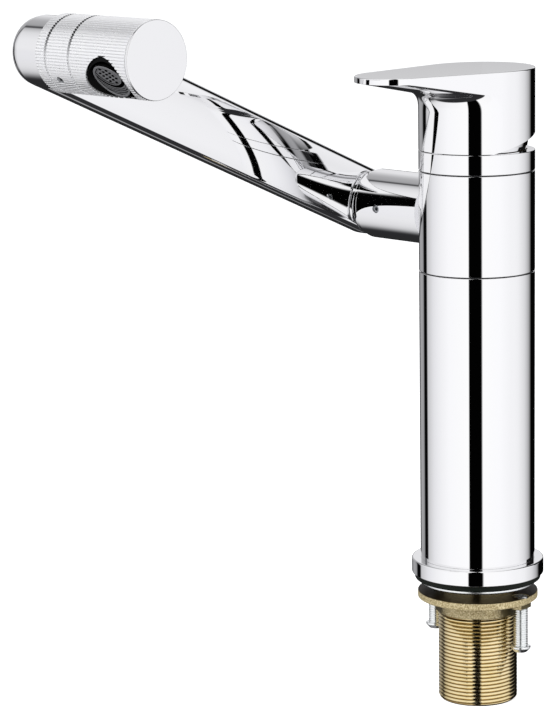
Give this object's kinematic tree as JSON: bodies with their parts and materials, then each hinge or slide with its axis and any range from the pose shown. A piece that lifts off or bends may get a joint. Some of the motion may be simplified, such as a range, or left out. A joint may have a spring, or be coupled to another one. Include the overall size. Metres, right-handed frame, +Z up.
{
  "type": "mixer tap",
  "caption": "Single lever deck mixer tap: round column, turning section with a jointed flat arm, knurled outlet head and paddle lever.",
  "frame": {"origin": "centre of the gasket's underside, on the column axis, in the plane of the worktop", "axes": "+Z up the column, +X the way the arm reaches, +Y from the arm's plane towards the outlet head's end cap"},
  "size_m": [0.2171, 0.0992, 0.2981],
  "materials": {
    "chrome": "mirror polished chrome plate",
    "knurled_chrome": "chrome plate on straight knurling",
    "brass_turned": "turned brass thread",
    "brass_cast": "sand cast matt brass",
    "gasket_rubber": "matt black rubber",
    "seal_rubber": "matt black rubber",
    "zinc_steel": "bright zinc plate",
    "steel": "bright stainless steel",
    "glide_plastic": "smooth dark acetal",
    "aerator_black": "moulded black plastic",
    "aerator_grey": "moulded dark grey plastic",
    "cartridge_plastic": "moulded white plastic",
    "ceramic": "lapped alumina ceramic"
  },
  "bodies": {
    "tap_body": {"base_flange": "chrome", "base_gasket": "gasket_rubber", "threaded_shank": "brass_turned", "clamp_washer": "zinc_steel", "clamp_nut": "brass_cast", "clamp_screws": "zinc_steel", "valve_body": "brass_cast", "swivel_seals": "seal_rubber", "column_sleeve": "chrome", "lower_glide_ring": "glide_plastic", "upper_glide_ring": "glide_plastic", "collar_ring": "chrome", "dome_cap": "chrome", "cartridge_shell": "cartridge_plastic", "fixed_ceramic_disc": "ceramic", "cartridge_nut": "brass_turned"},
    "spout_section": {"swivel_housing": "chrome", "stub_grub_screw": "steel"},
    "arm": {"arm_bar": "chrome", "arm_spigot": "brass_turned", "arm_seals": "seal_rubber", "arm_joint_ring": "chrome", "inner_knurled_ring": "knurled_chrome", "outer_knurled_ring": "knurled_chrome", "ring_grub_screw": "steel", "outlet_spigot": "brass_turned", "outlet_seals": "seal_rubber", "retaining_clip": "steel"},
    "outlet": {"outlet_barrel": "knurled_chrome", "end_cap": "chrome", "aerator_housing": "aerator_black", "aerator_insert": "aerator_grey"},
    "turret": {"cartridge_turret": "cartridge_plastic", "stem_pin": "steel"},
    "disc_slider": {"moving_ceramic_disc": "ceramic", "disc_carrier": "cartridge_plastic"},
    "lever": {"lever_handle": "chrome", "cartridge_stem": "brass_turned", "lever_grub_screw": "steel", "lever_plug": "chrome"}
  },
  "joints": [
    {"name": "spout_swivel", "type": "hinge", "parent": "tap_body", "child": "spout_section", "pos_m": [0, 0, 0.15425], "axis": [0, 0, 1], "range_deg": [-110, 110]},
    {"name": "arm_tilt", "type": "hinge", "parent": "spout_section", "child": "arm", "pos_m": [0, -0.0648, 0.15425], "axis": [0, -1, 0], "range_deg": [-24, 46]},
    {"name": "outlet_turn", "type": "hinge", "parent": "arm", "child": "outlet", "pos_m": [0.17425, -0.0648, 0.23074], "axis": [0, 1, 0], "range_deg": [-60, 90]},
    {"name": "lever_turn", "type": "hinge", "parent": "tap_body", "child": "turret", "pos_m": [0, 0, 0.188], "axis": [0, 0, 1], "range_deg": [-39, 61]},
    {"name": "lever_lift", "type": "hinge", "parent": "turret", "child": "lever", "pos_m": [0, 0, 0.188], "axis": [-0.1908, -0.9816, 0], "range_deg": [0, 18]},
    {"name": "disc_slide", "type": "slide", "parent": "turret", "child": "disc_slider", "axis": [0.9816, -0.1908, 0], "range_m": [0, 0.0026]}
  ],
  "couplings": [
    {"joint": "disc_slide", "follows": "lever_lift", "m_per_rad": 0.008}
  ]
}
